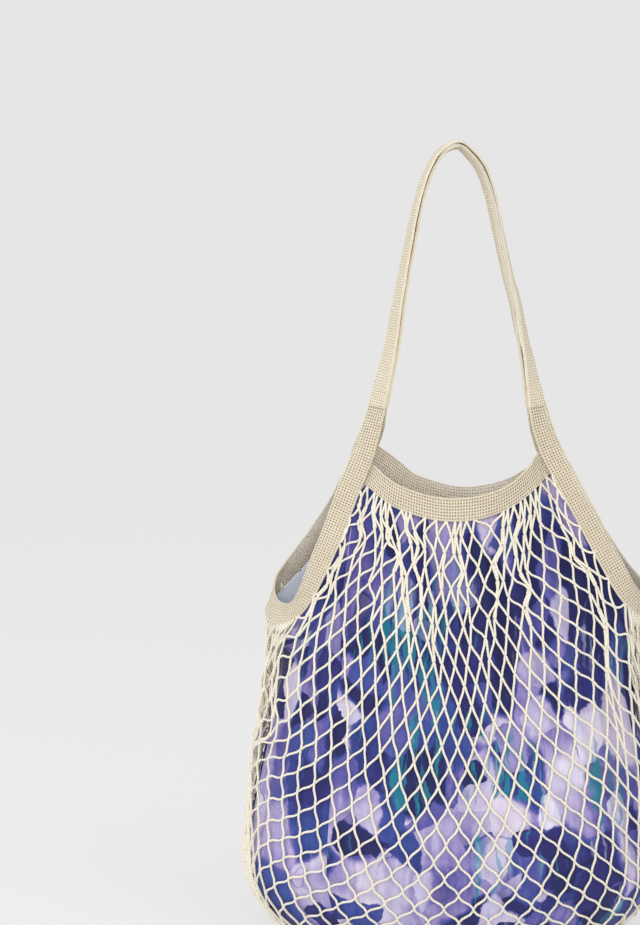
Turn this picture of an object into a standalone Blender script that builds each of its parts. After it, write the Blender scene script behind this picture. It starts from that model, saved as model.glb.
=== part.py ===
"""String shopping bag: a printed cloth sack inside a sack of cotton netting, bound with knitted tape.

The bag stands full and upright. Its front looks along -Y, +Z is up, and the origin is on the ground under the
middle of the bag. Tables and sizes are in millimetres; a mesh is scaled to metres when it is made.

Both sacks share one surface, which falls from the tape's sewn edge to a flat base. The tape binds the mouth at
front and back, and one length of it goes round each side opening. The handle is two straps, one on the other,
which turn from face on at the bag to edge on at the top.
"""

from collections import namedtuple

import bmesh
import bpy
import numpy as np

MM = 0.001

TAPE_WIDTH = 21.0
BAND_THICKNESS = 1.8
STRAP_THICKNESS = 2.5
STRAP_GAP = 0.5
SEAM_GAP = 0.8
SEWN_GAP = 2.3
NET_THICKNESS = 2.0
LINING_THICKNESS = 1.0
LINING_DEPTH = 2.6
SQUARENESS = 2.3
GATHER_FALL = 170.0

MOUTH_COLUMNS = 12
SIDE_COLUMNS = 18
STEPS_PER_ROW = 2
UPPER_ROWS = 3
BASE_RINGS = (0.62, 0.3)

# The full sack's outline at each height: how far it reaches to each side, to the front and to the back, and how
# far the cloth sack's sides are tucked in from the net's.
Section = namedtuple("Section", "height left right front back tuck")
SACK = (
    Section(400, 150, 155, 38, 42, 0),
    Section(350, 158, 162, 48, 49, 0),
    Section(300, 165, 168, 60, 60, 2),
    Section(250, 168, 169, 70, 69, 16),
    Section(205, 173, 173, 78, 76, 18),
    Section(150, 178, 178, 84, 82, 11),
    Section(100, 183, 182, 87, 86, 4),
    Section(65, 184, 183, 86, 86, 0),
    Section(42, 179, 178, 83, 83, 0),
    Section(25, 169, 168, 78, 78, 0),
    Section(12, 157, 156, 71, 71, 0),
    Section(3, 143, 143, 61, 61, 0),
    Section(0, 128, 128, 49, 49, 0),
)
SHARED_HEIGHTS = (250, 205, 150, 100, 65, 42, 25, 12, 3, 0)

# Where the sewn edge's landmarks hang on the full sack, in quarter turns from the middle of the front, against
# how far along a side band's sewn edge they are.
Landmark = namedtuple("Landmark", "along quarter")
SIDE_LANDMARKS = (
    Landmark(0.0, 0.47),
    Landmark(0.36, 0.78),
    Landmark(0.5, 1.0),
    Landmark(0.64, 1.22),
    Landmark(1.0, 1.53),
)

# A tape's free edge, and the direction across it to the edge that the net is sewn to.
Tape = namedtuple("Tape", "x y z across_x across_y across_z")
FRONT_MOUTH = (
    Tape(-76, -7.5, 416, -6, -4, -20),
    Tape(-69, -12, 411, -5, -5, -20),
    Tape(-60, -24, 403, -3, -4, -20),
    Tape(-46, -33, 395, -2, -3, -21),
    Tape(-16, -41, 387, 0, -2, -21),
    Tape(12, -41, 387, 0, -2, -21),
    Tape(34, -38, 392, 1, -2, -21),
    Tape(50, -32, 400, 2, -3, -20),
    Tape(63, -22, 412, 6, -3, -19),
    Tape(69, -10, 419, 9, -4, -17),
    Tape(76, -7, 425, 10, -4, -16),
)
BACK_MOUTH = (
    Tape(-67, 3, 428, -8, 5, -19),
    Tape(-62, 9, 425, -8, 7, -19),
    Tape(-56, 17, 421, -6, 7, -19),
    Tape(-45, 26, 412, -4, 5, -20),
    Tape(-34, 33, 402, -3, 4, -20),
    Tape(-17, 39, 393, -1, 3, -21),
    Tape(3, 42, 388, 0, 2, -21),
    Tape(24, 41, 388, 0, 2, -21),
    Tape(47, 36, 394, 1, 3, -21),
    Tape(63, 26, 404, 4, 5, -20),
    Tape(73, 13, 413, 8, 6, -18),
    Tape(79, 7, 418, 9, 5, -18),
)
LEFT_SIDE = (
    Tape(-84, -2, 434, 16.5, -11, -3),
    Tape(-91, -7, 417, 19, -7, -7),
    Tape(-100, -14, 396, 19.5, -7, -8),
    Tape(-112, -24, 365, 19, -8, -8),
    Tape(-122, -30, 340, 18, -10, -6),
    Tape(-131, -31, 317, 15.5, -13, -5),
    Tape(-137, -28, 301, 11, -16, -6),
    Tape(-142.5, -20, 293.5, 2, -15, -14),
    Tape(-149, -10, 292.5, -6, -9, -17),
    Tape(-154, -1, 296, -9, 0, -18),
    Tape(-156, 8, 304, -5, 9, -17),
    Tape(-153, 16, 315, 3, 13, -15),
    Tape(-143, 22, 328, 11, 13, -13),
    Tape(-127, 24, 349, 13, 12, -12),
    Tape(-111, 21, 374, 15, 11, -11),
    Tape(-96, 14, 403, 17, 9, -9),
    Tape(-86, 10, 429, 19, 1, -6),
)
RIGHT_SIDE = (
    Tape(86, -4, 442, -19, -9, -5),
    Tape(94, -8, 424, -20, -7, -8),
    Tape(102, -12, 409, -20, -7, -9),
    Tape(114, -20, 386, -18.5, -7, -9.5),
    Tape(127, -28, 361, -18.5, -8, -9.5),
    Tape(140, -34, 336, -18, -9, -9.5),
    Tape(152, -35, 314, -17, -10, -9),
    Tape(162, -27, 300, -11, -13, -13),
    Tape(169, -10, 294, -1, -9, -17),
    Tape(172, 6, 298, 5, 6, -17),
    Tape(165, 18, 309, 0, 13, -16),
    Tape(149, 25, 330, -10, 13, -13),
    Tape(128, 25, 362, -14, 12, -12),
    Tape(107, 20, 394, -16, 10, -10),
    Tape(93, 12, 424, -19, 3, -7),
)
# Rows of each side table where the mouth's tape meets it, at the front and at the back.
SIDE_ENDS = {"left": (1.95, 15.0), "right": (1.85, 13.0)}
MOUTH_ENDS = (1.0, 1.0)

# The handle's near edge, from the seam at the left to the seam at the right. turn swings the straps' far edge
# round from straight left through straight back to straight right, and splay opens the inner strap from the
# outer one.
Strap = namedtuple("Strap", "x y z turn splay")
HANDLE = (
    Strap(-59, -11.5, 459, 44, 2),
    Strap(-54.5, -12, 484, 53, 3),
    Strap(-49.5, -12, 510, 61, 3),
    Strap(-44, -12, 553, 70, 3),
    Strap(-35.5, -11, 604, 76, 4),
    Strap(-29, -11, 638, 79, 4),
    Strap(-21, -10.5, 662.5, 81, 4),
    Strap(-11, -10.5, 679, 84, 5),
    Strap(3, -10.5, 685.5, 86, 7),
    Strap(14, -10.5, 678, 88, 11),
    Strap(24, -10.5, 665, 91, 15),
    Strap(32, -10.5, 642, 93, 16),
    Strap(38, -10.5, 607, 97, 14),
    Strap(45, -11, 572, 100, 14),
    Strap(50.5, -11, 550, 103, 16),
    Strap(53.5, -11.5, 530, 106, 16),
    Strap(56, -12, 512, 112, 16),
    Strap(58, -12, 497, 119, 16),
    Strap(59.5, -12, 482, 127, 12),
    Strap(62, -11.5, 460, 143, 5),
)

TAPE_COLOUR = (0.847, 0.768, 0.597)
CORD_COLOUR = (0.87, 0.83, 0.72)
PRINT_COLOUR = (0.12, 0.12, 0.4)


def clear_scene():
    for obj in list(bpy.data.objects):
        bpy.data.objects.remove(obj)


def unit(vectors):
    return vectors / np.linalg.norm(vectors, axis=-1, keepdims=True)


def smooth(rows, steps):
    """A smooth curve through the rows, in every column, with the given steps from each row to the next."""
    rows = np.asarray(rows, float)
    ends = np.vstack([2 * rows[0] - rows[1], rows, 2 * rows[-1] - rows[-2]])
    a, b, c, d = ends[:-3], ends[1:-2], ends[2:-1], ends[3:]
    t = np.linspace(0, 1, steps, endpoint=False)[:, None, None]
    spans = 0.5 * (2 * b + (c - a) * t + (2 * a - 5 * b + 4 * c - d) * t**2 + (3 * b - a - 3 * c + d) * t**3)
    return np.vstack([spans.transpose(1, 0, 2).reshape(-1, rows.shape[1]), rows[-1:]])


def spread(points, count, start=0.0, end=None):
    """That many points at even distances along a polyline, from one place in its list to another."""
    end = len(points) - 1 if end is None else end
    places = np.linspace(start, end, 8 * count)
    dense = np.stack([np.interp(places, np.arange(len(points)), column) for column in points.T], axis=1)
    travelled = np.concatenate([[0], np.cumsum(np.linalg.norm(np.diff(dense, axis=0), axis=1))])
    wanted = np.linspace(0, travelled[-1], count)
    return np.stack([np.interp(wanted, travelled, column) for column in dense.T], axis=1)


def handle_layers():
    """The near and far edges of the outer strap and of the inner one."""
    rows = smooth(HANDLE, STEPS_PER_ROW)
    near, turn, splay = rows[:, :3], np.radians(rows[:, 3]), np.radians(rows[:, 4])
    along = unit(np.gradient(near, axis=0))
    across = np.stack([-np.cos(turn), np.sin(turn), np.zeros_like(turn)], axis=1)
    across = unit(across - along * (across * along).sum(1, keepdims=True))
    outward = np.cross(along, across)
    opened = across * np.cos(splay)[:, None] - outward * np.sin(splay)[:, None]
    lift = (STRAP_THICKNESS + STRAP_GAP) / 2
    outer = near + outward * lift
    inner = near - np.cross(along, opened) * lift
    return (outer, outer + across * TAPE_WIDTH), (inner, inner + opened * TAPE_WIDTH)


def seam_row(layer, end):
    """The row that continues a strap as a side band, a stitched seam below the strap's end."""
    near, far = layer
    beyond = unit(near[end] - near[1 if end == 0 else -2]) * SEAM_GAP
    return (*(far[end] + beyond), *(near[end] - far[end]))


def band_edges(rows):
    """A band's free edge and its sewn edge."""
    dense = smooth(rows, STEPS_PER_ROW)
    free = dense[:, :3]
    return free, free + unit(dense[:, 3:]) * TAPE_WIDTH


def side_edges(table, outer, inner, end):
    return band_edges([seam_row(outer, end), *table, seam_row(inner, end)])


def rim_stretch(edges, start_row, end_row, count):
    """Part of a band's sewn edge, moved on by the gap that the stitches leave."""
    free, sewn = edges
    below = sewn + unit(sewn - free) * SEWN_GAP
    return spread(below, count, start_row * STEPS_PER_ROW, end_row * STEPS_PER_ROW)


def sack_rim(front, right, back, left):
    """The sacks' upper edge, anticlockwise from the front's left corner, and each point's quarter turn."""
    landmarks = np.array(SIDE_LANDMARKS)
    last_front, last_back = len(FRONT_MOUTH) - 1, len(BACK_MOUTH) - 1
    side_rows = {side: np.array(ends) + 1 for side, ends in SIDE_ENDS.items()}
    corner = landmarks[0, 1]
    mouth_quarters = np.linspace(-corner, corner, MOUTH_COLUMNS + 1)[1:-1]
    side_quarters = np.interp(np.linspace(0, 1, SIDE_COLUMNS + 1), *landmarks.T)
    points = [
        rim_stretch(front, MOUTH_ENDS[0], last_front - MOUTH_ENDS[1], MOUTH_COLUMNS + 1)[1:-1],
        rim_stretch(right, *side_rows["right"], SIDE_COLUMNS + 1),
        rim_stretch(back, MOUTH_ENDS[0], last_back - MOUTH_ENDS[1], MOUTH_COLUMNS + 1)[::-1][1:-1],
        rim_stretch(left, *side_rows["left"], SIDE_COLUMNS + 1)[::-1],
    ]
    quarters = [mouth_quarters, side_quarters, mouth_quarters + 2, side_quarters[::-1] * -1 + 4]
    return np.vstack(points), np.concatenate(quarters)


def plan_angles(quarters):
    """Angles that put the points at even distances round the full sack's widest outline."""
    fine = np.linspace(0, 2 * np.pi, 721)
    outline = plan_point(np.full_like(fine, 100.0), fine)
    travelled = np.concatenate([[0], np.cumsum(np.linalg.norm(np.diff(outline, axis=0), axis=1))])
    turns = np.interp(fine, [0, np.pi / 2, np.pi, 1.5 * np.pi, 2 * np.pi], [0, 1, 2, 3, 4])
    marks = np.interp([0, 1, 2, 3, 4], turns, travelled)
    return np.interp(np.interp(quarters % 4, [0, 1, 2, 3, 4], marks), travelled, fine)


def section_at(heights):
    table = np.array(SACK)[::-1]
    return [np.interp(heights, table[:, 0], column) for column in table[:, 1:].T]


def plan_point(heights, angles):
    """Where the full sack's outline is at a height, and at an angle from the front."""
    left, right, front, back, _ = section_at(heights)
    sine, cosine = np.sin(angles), np.cos(angles)
    power = 2 / SQUARENESS
    x = np.where(sine > 0, right, left) * np.sign(sine) * np.abs(sine) ** power
    y = np.where(cosine > 0, front, back) * -np.sign(cosine) * np.abs(cosine) ** power
    return np.stack([x, y], axis=1)


def sack_rings(rim, quarters, tucked):
    """Rings of points from the sewn edge down to the flat base, and two more on the base."""
    angles = plan_angles(quarters)
    top = rim[:, 2]
    above = [top + (SHARED_HEIGHTS[0] - top) * row / (UPPER_ROWS + 1) for row in range(UPPER_ROWS + 1)]
    levels = above + [np.full_like(top, float(height)) for height in SHARED_HEIGHTS]
    gather = rim[:, :2] - plan_point(top, angles)
    rings = []
    for level in levels:
        hold = np.clip(1 - (top - level) / GATHER_FALL, 0, 1)[:, None] ** 2
        plan = plan_point(level, angles) + gather * hold
        if tucked:
            loose = np.clip((top - level) / (top - SHARED_HEIGHTS[0]), 0, 1)
            plan[:, 0] -= np.sign(plan[:, 0]) * section_at(level)[4] * np.sin(angles) ** 4 * loose
        rings.append(np.column_stack([plan, level]))
    rings += [rings[-1] * (scale, scale, 1) for scale in BASE_RINGS]
    return rings


def make_material(name, colour, roughness):
    material = bpy.data.materials.new(name)
    material.use_nodes = True
    shader = material.node_tree.nodes["Principled BSDF"]
    shader.inputs["Base Color"].default_value = (*colour, 1)
    shader.inputs["Roughness"].default_value = roughness
    shader.inputs["Metallic"].default_value = 0
    return material


def loft(name, rings, closed, colour, thickness, offset):
    """A cloth sheet through rings of points, given its thickness by a Solidify modifier."""
    shape = bmesh.new()
    verts = [[shape.verts.new(point * MM) for point in ring] for ring in rings]
    count = len(rings[0])
    for upper, lower in zip(verts, verts[1:]):
        for i in range(count if closed else count - 1):
            j = (i + 1) % count
            shape.faces.new((upper[i], lower[i], lower[j], upper[j]))
    if closed:
        shape.faces.new(verts[-1][::-1])
    mesh = bpy.data.meshes.new(name)
    shape.to_mesh(mesh)
    shape.free()
    mesh.shade_smooth()
    mesh.materials.append(make_material(name + "_cloth", colour, 0.9))
    obj = bpy.data.objects.new(name, mesh)
    bpy.data.collections["string_shopping_bag"].objects.link(obj)
    solidify = obj.modifiers.new("thickness", "SOLIDIFY")
    solidify.thickness = thickness * MM
    solidify.offset = offset
    return obj


def make_tape(name, edges, thickness):
    return loft(name, list(zip(*edges)), False, TAPE_COLOUR, thickness, 0)


def make_net(rim, quarters):
    return loft("net", sack_rings(rim, quarters, False), True, CORD_COLOUR, NET_THICKNESS, -1)


def make_lining(rim, quarters):
    lining = loft("lining", sack_rings(rim, quarters, True), True, PRINT_COLOUR, LINING_THICKNESS, -1)
    inward = lining.modifiers.new("inside_the_net", "DISPLACE")
    inward.strength = -LINING_DEPTH * MM
    inward.mid_level = 0
    lining.modifiers.move(1, 0)
    return lining


def main():
    clear_scene()
    bag = bpy.data.collections.new("string_shopping_bag")
    bpy.context.scene.collection.children.link(bag)

    outer, inner = handle_layers()
    front = band_edges(FRONT_MOUTH)
    back = band_edges(BACK_MOUTH)
    left = side_edges(LEFT_SIDE, outer, inner, 0)
    right = side_edges(RIGHT_SIDE, outer, inner, -1)
    rim, quarters = sack_rim(front, right, back, left)

    make_net(rim, quarters)
    make_lining(rim, quarters)
    make_tape("front_mouth_band", front, BAND_THICKNESS)
    make_tape("back_mouth_band", back, BAND_THICKNESS)
    make_tape("left_side_band", left, BAND_THICKNESS)
    make_tape("right_side_band", right, BAND_THICKNESS)
    make_tape("front_handle", outer, STRAP_THICKNESS)
    make_tape("back_handle", inner, STRAP_THICKNESS)


main()
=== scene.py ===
"""String shopping bag: a printed cloth sack in a sack of cotton netting, bound with openwork tape."""

import math

import bmesh
import bpy
import numpy as np
from mathutils.bvhtree import BVHTree
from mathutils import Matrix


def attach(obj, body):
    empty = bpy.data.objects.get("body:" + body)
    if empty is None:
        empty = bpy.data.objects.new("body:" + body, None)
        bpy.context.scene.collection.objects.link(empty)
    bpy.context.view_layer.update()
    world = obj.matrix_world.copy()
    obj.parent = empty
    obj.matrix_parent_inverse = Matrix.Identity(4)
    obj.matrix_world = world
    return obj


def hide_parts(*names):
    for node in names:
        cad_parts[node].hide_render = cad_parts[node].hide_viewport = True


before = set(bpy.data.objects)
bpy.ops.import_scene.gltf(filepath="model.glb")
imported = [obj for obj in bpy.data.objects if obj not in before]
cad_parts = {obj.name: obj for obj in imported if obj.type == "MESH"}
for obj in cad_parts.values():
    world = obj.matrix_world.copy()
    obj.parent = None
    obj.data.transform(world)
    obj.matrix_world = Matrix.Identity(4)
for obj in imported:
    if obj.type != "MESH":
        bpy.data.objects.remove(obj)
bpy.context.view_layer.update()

MM = 0.001
scene = bpy.context.scene

# Camera and setting. The bag stands on a plain pale floor that curves up into a pale wall behind it. Three
# large soft lights, the strongest in front and the others at the left and right, and a white sky light it.
CAMERA_PLACE = (-0.116, -2.2, 0.62)
CAMERA_DROP = 5.4
CAMERA_LENS = 99.56
SENSOR = 36.0
BACKDROP_TINT = (0.26, 0.26, 0.26)
BACKDROP_GLOW = 0.53
BACKDROP_HALF_WIDTH = 7
# Points of the floor and the wall, from the front: how far back, and how high.
BACKDROP_PROFILE = ((-7, 0), (2.9, 0), (3.3, 0.04), (3.6, 0.2), (3.75, 0.5), (3.8, 1.0), (3.8, 6))
SKY = 0.86
# Each soft light's place, aim, size, power and tint.
LIGHTS = {
    "key": ((1.3, -1.6, 2.2), (0, 0, 0.3), 1.4, 12, (1, 0.985, 0.96)),
    "side": ((-2.2, -0.6, 1.6), (0, 0, 0.3), 1.6, 17, (0.97, 0.985, 1)),
    "front": ((-0.4, -2.6, 0.9), (0, 0, 0.35), 1.2, 20, (1, 1, 1)),
}

camera = bpy.data.objects.new("camera", bpy.data.cameras.new("camera"))
camera.location = CAMERA_PLACE
camera.rotation_euler = (math.radians(90 - CAMERA_DROP), 0, 0)
camera.data.sensor_fit = "VERTICAL"
camera.data.sensor_height = SENSOR
camera.data.lens = CAMERA_LENS
camera.data.clip_start = 0.05
scene.collection.objects.link(camera)
scene.camera = camera


class Wire:
    """A shader value: arithmetic on it adds Math nodes."""

    def __init__(self, finish, socket):
        self.finish, self.socket = finish, socket

    def maths(self, operation, *values):
        return self.finish.node("Math", {"operation": operation}, dict(enumerate(values)))

    def __add__(self, other):
        return self.maths("ADD", self, other)

    def __sub__(self, other):
        return self.maths("SUBTRACT", self, other)

    def __rsub__(self, other):
        return self.maths("SUBTRACT", other, self)

    def __mul__(self, other):
        return self.maths("MULTIPLY", self, other)

    def __pow__(self, other):
        return self.maths("POWER", self, other)

    __radd__ = __add__
    __rmul__ = __mul__


class Finish:
    """A material, and the nodes that vary it over a surface."""

    def __init__(self, name, **constants):
        self.material = bpy.data.materials.new(name)
        self.material.use_nodes = True
        self.tree = self.material.node_tree
        self.shader = self.tree.nodes["Principled BSDF"]
        for socket, value in constants.items():
            self.shader.inputs[socket.replace("_", " ")].default_value = value

    def node(self, kind, settings=None, sockets=None, out=0):
        made = self.tree.nodes.new("ShaderNode" + kind)
        for name, value in (settings or {}).items():
            if name == "stops":
                ramp = made.color_ramp
                while len(ramp.elements) < len(value):
                    ramp.elements.new(1)
                for stop, (place, colour) in zip(ramp.elements, value):
                    stop.position, stop.color = place, (*colour, 1)
            else:
                setattr(made, name, value)
        for name, value in (sockets or {}).items():
            self.set(made.inputs[name], value)
        return Wire(self, made.outputs[out])

    def set(self, socket, value):
        if isinstance(value, Wire):
            self.tree.links.new(value.socket, socket)
        else:
            socket.default_value = value

    def drive(self, **sockets):
        for name, value in sockets.items():
            self.set(self.shader.inputs[name.replace("_", " ")], value)

    def mix(self, factor, first, second):
        """Between two colours."""
        first, second = [(*c, 1) if isinstance(c, tuple) else c for c in (first, second)]
        return self.node("Mix", {"data_type": "RGBA"}, {0: factor, 6: first, 7: second}, 2)

    def noise(self, place, scale, detail=2.0, roughness=0.5):
        return self.node("TexNoise", {}, {
            "Vector": place, "Scale": scale, "Detail": detail, "Roughness": roughness})

    def stretch(self, place, scale):
        """A place, scaled differently along each axis."""
        return self.node("Mapping", {}, {"Vector": place, "Scale": scale})

    def bump(self, height, distance, strength=1.0, under=None):
        sockets = {"Height": height, "Distance": distance, "Strength": strength}
        if under is not None:
            sockets["Normal"] = under
        return self.node("Bump", {}, sockets)


backdrop = Finish("pale_backdrop", Roughness=0.9, Base_Color=(*BACKDROP_TINT, 1), Emission_Color=(1, 1, 1, 1),
                  Emission_Strength=BACKDROP_GLOW)
floor_shape = bmesh.new()
edge = [floor_shape.verts.new((-BACKDROP_HALF_WIDTH, y, z)) for y, z in BACKDROP_PROFILE]
edges = [floor_shape.edges.new(pair) for pair in zip(edge, edge[1:])]
bmesh.ops.extrude_edge_only(floor_shape, edges=edges)
for vert in floor_shape.verts:
    if vert not in edge:
        vert.co.x = BACKDROP_HALF_WIDTH
bmesh.ops.recalc_face_normals(floor_shape, faces=floor_shape.faces)
floor_mesh = bpy.data.meshes.new("floor")
floor_shape.to_mesh(floor_mesh)
floor_shape.free()
floor_mesh.shade_smooth()
floor_mesh.materials.append(backdrop.material)
floor = bpy.data.objects.new("floor", floor_mesh)
scene.collection.objects.link(floor)

world = bpy.data.worlds.new("sky")
world.use_nodes = True
world.node_tree.nodes["Background"].inputs["Color"].default_value = (1, 1, 1, 1)
world.node_tree.nodes["Background"].inputs["Strength"].default_value = SKY
scene.world = world


def soft_light(name, place, aim, size, power, tint):
    """A square lamp that faces its aim."""
    light = bpy.data.lights.new(name, "AREA")
    light.shape, light.size, light.energy, light.color = "SQUARE", size, power, tint
    lamp = bpy.data.objects.new(name, light)
    lamp.location = place
    direction = np.array(aim, float) - place
    tilt = math.acos(-direction[2] / np.linalg.norm(direction))
    lamp.rotation_euler = (tilt, 0, math.atan2(direction[0], -direction[1]) + math.pi)
    scene.collection.objects.link(lamp)


for light_name, light_values in LIGHTS.items():
    soft_light(light_name, *light_values)

scene.view_settings.view_transform = "Standard"

# Handle. Two straps of knitted cotton tape, with rows of small square holes, are each folded double to a
# width of 21 mm and lie one on the other. They stand aslant at the bag's mouth, turn edge on at the top of
# the loop and open a little on the way down at the right.
TAPE_WIDTH = 21.0
CELL_LONG = 2.4
CELL_WIDE = 2.55
YARN = 0.85
YARN_UNEVEN = 0.06
YARN_EDGE = math.radians(50)
MERGE = 0.05
STRAP_THICKNESS = 2.5
STRAP_GAP = 0.5
STRAP_HOLE = 0.85
STRAP_RUFFLE = 0.12
STRAP_RADIUS = 0.85
STRAP_FLAT = TAPE_WIDTH - 2 * STRAP_RADIUS - YARN
STRAP_GIRTH = 2 * STRAP_FLAT + 2 * math.pi * STRAP_RADIUS
FOLD_RIB = 2.7
# The waves that ruffle a tape's edges outward, and those that sway them sideways, in millimetres a radian.
RUFFLES = (6.1, 13.7, 3.3)
SWAYS = (17, 7.3)
# The straps' tape: the bands' same tape made a little lighter, painted light where the handle faces the
# lights.
LIT_STRAP_COLOURS = ((0.69, 0.605, 0.44), (0.78, 0.71, 0.565))
# Painted shade: a dark tape colour put on the faces of the tape's layers that lie against each other, so that
# the holes show dark.
PAINTED_SHADE_COLOUR = (0.50, 0.40, 0.27)
STITCH_COLOUR = (0.62, 0.50, 0.35)


def unit(vectors):
    return vectors / np.linalg.norm(vectors, axis=-1, keepdims=True)


def smooth(rows, steps):
    """A smooth curve through the rows, in every column, with the given steps from each row to the next."""
    rows = np.asarray(rows, float)
    ends = np.vstack([2 * rows[0] - rows[1], rows, 2 * rows[-1] - rows[-2]])
    a, b, c, d = ends[:-3], ends[1:-2], ends[2:-1], ends[3:]
    t = np.linspace(0, 1, steps, endpoint=False)[:, None, None]
    spans = 0.5 * (2 * b + (c - a) * t + (2 * a - 5 * b + 4 * c - d) * t**2 + (3 * b - a - 3 * c + d) * t**3)
    return np.vstack([spans.transpose(1, 0, 2).reshape(-1, rows.shape[1]), rows[-1:]])


def travelled(points):
    """How far along a polyline each of its points is."""
    return np.concatenate([[0], np.cumsum(np.linalg.norm(np.diff(points, axis=0), axis=1))])


def at(places, marks, points):
    """The points of a polyline at some places, where marks says how far along each of its own points is."""
    return np.stack([np.interp(places, marks, column) for column in points.T], axis=-1)


def doubled_section(around):
    """Round a tape that is folded double, from the middle of its inner face."""
    around = around % STRAP_GIRTH
    half, turn = STRAP_FLAT / 2, math.pi * STRAP_RADIUS
    first = np.clip((around - half) / STRAP_RADIUS, 0, math.pi)
    second = np.clip((around - half - turn - STRAP_FLAT) / STRAP_RADIUS, 0, math.pi)
    flat = np.clip(around, 0, half) - np.clip(around - half - turn, 0, STRAP_FLAT) + np.clip(
        around - half - 2 * turn - STRAP_FLAT, 0, half)
    angle = first + second
    return flat + STRAP_RADIUS * np.sin(angle), -STRAP_RADIUS * np.cos(angle)


def make_object(name, mesh, *materials):
    """A new object of that mesh, with one slot for each material."""
    mesh.materials.clear()
    for material in materials:
        mesh.materials.append(material)
    piece = bpy.data.objects.new(name, mesh)
    scene.collection.objects.link(piece)
    return piece


def baked_mesh(piece, name):
    """The piece's mesh with its modifiers applied, in a new object of that name."""
    graph = bpy.context.evaluated_depsgraph_get()
    mesh = bpy.data.meshes.new_from_object(piece.evaluated_get(graph))
    bpy.data.objects.remove(piece)
    mesh.name = name
    result = bpy.data.objects.new(name, mesh)
    scene.collection.objects.link(result)
    return result


def knit_tape(name, near, far, outward_sign, section, low, high, holed, hole, wave, seed, node, hidden, look):
    """A tape of holed cells, bent along two edges and shaped across by its section.

    It reaches from low to high across, and its cells have holes where holed says so. One of its sides gets a
    painted shade, a dark tape colour for the side that lies against another layer: the one that starts
    outward where hidden is 1, and the other where it is -1.
    """
    middle = (near + far) / 2
    marks = travelled(middle)
    length = marks[-1]
    rows = max(8, round(length / CELL_LONG))
    ranks = round((high - low) / CELL_WIDE)
    shape = bmesh.new()
    bmesh.ops.create_grid(shape, x_segments=rows, y_segments=ranks, size=0.5)
    for vert in shape.verts:
        vert.co.x = (vert.co.x + 0.5) * length
        vert.co.y = low + (vert.co.y + 0.5) * (high - low)
    cells = [face for face in shape.faces if holed(face.calc_center_median().y)]
    bar = (CELL_LONG - hole) / 2
    bmesh.ops.inset_individual(shape, faces=cells, thickness=bar, use_even_offset=True)
    bmesh.ops.delete(shape, geom=cells, context="FACES")
    flat = np.array([vert.co for vert in shape.verts])
    across_way = unit(far - near)
    along_way = unit(np.gradient(middle, axis=0))
    out_way = unit(np.cross(along_way, across_way)) * outward_sign
    random = np.random.default_rng(seed)
    phase = random.uniform(0, 6.28, 4)
    jitter = random.normal(0, YARN_UNEVEN, (len(flat), 2))
    places, offsets = flat[:, 0], flat[:, 1]
    across, lift = section(offsets)
    width = np.interp(places, marks, np.linalg.norm(far - near, axis=1)) / TAPE_WIDTH
    edge_way = np.clip(np.abs(across) / (TAPE_WIDTH / 2), 0, 1) ** 2
    ruffle = wave * edge_way * (
        np.sin(places / RUFFLES[0] + phase[0] + np.sign(across)) * 0.6
        + np.sin(places / RUFFLES[1] + phase[1]) + 0.5 * np.sin(places / RUFFLES[2] + phase[2]))
    side = wave * 0.6 * (
        np.sin(places / SWAYS[0] + phase[3]) + 0.5 * np.sin(places / SWAYS[1] + phase[0])) * edge_way
    points = (at(places, marks, middle)
              + at(places, marks, across_way) * ((across + side + jitter[:, 0]) * width)[:, None]
              + at(places, marks, out_way) * (lift + ruffle)[:, None]
              + at(places, marks, along_way) * jitter[:, 1:2])
    lay = shape.loops.layers.uv.new("along_tape")
    for vert, point in zip(shape.verts, points):
        for loop in vert.link_loops:
            loop[lay].uv = (vert.co.x * MM, vert.co.y * MM)
        vert.co = point * MM
    bmesh.ops.remove_doubles(shape, verts=shape.verts, dist=MERGE * MM)
    mesh = bpy.data.meshes.new(name)
    shape.to_mesh(mesh)
    shape.free()
    mesh.shade_smooth()
    # The face that lies against another layer gets the painted shade.
    sides = (look.material, painted_shade_tape.material)
    piece = make_object(name + "_flat", mesh, *(sides if hidden * outward_sign < 0 else sides[::-1]))
    wall = piece.modifiers.new("yarn", "SOLIDIFY")
    wall.thickness, wall.offset, wall.material_offset = YARN * MM, 0, 1
    piece = baked_mesh(piece, name)
    piece.data.set_sharp_from_angle(angle=YARN_EDGE)
    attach(piece, "root")
    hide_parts(node)
    (high - low) * MM


def tape_look(name, dark, light):
    """Knitted cotton yarn of two mixed shades, with darker stitches."""
    finish = Finish(name, Roughness=0.92, Sheen_Weight=0.25, Sheen_Roughness=0.6, Specular_IOR_Level=0.25)
    along = finish.node("UVMap", {"uv_map": "along_tape"})
    place = finish.node("TexCoord", out=3)
    twist = finish.node("TexWave", {"wave_type": "BANDS", "bands_direction": "DIAGONAL"}, {
        "Vector": along, "Scale": 420.0, "Distortion": 2.0, "Detail": 2.0})
    loops = finish.noise(finish.stretch(along, (900, 520, 1)), 1.0, 2.0)
    colour = finish.mix(finish.noise(place, 38.0, 3.0), dark, light)
    colour = finish.mix((finish.noise(place, 620.0, 2.0, 0.7) - 0.45) * 1.3, colour, STITCH_COLOUR)
    finish.drive(Base_Color=colour, Normal=finish.bump(loops, 0.0009, 0.7, finish.bump(twist, 0.0004, 0.6)))
    return finish


# The straps wear a lighter copy of the bands' tape: painted light.
lit_strap_finish = tape_look("strap_cotton_tape_painted_light", *LIT_STRAP_COLOURS)
# The painted-shade tape, for the faces where two layers of tape meet.
painted_shade_tape = Finish(
    "cotton_tape_painted_shade", Base_Color=(*PAINTED_SHADE_COLOUR, 1), Roughness=0.95, Specular_IOR_Level=0.1)

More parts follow.
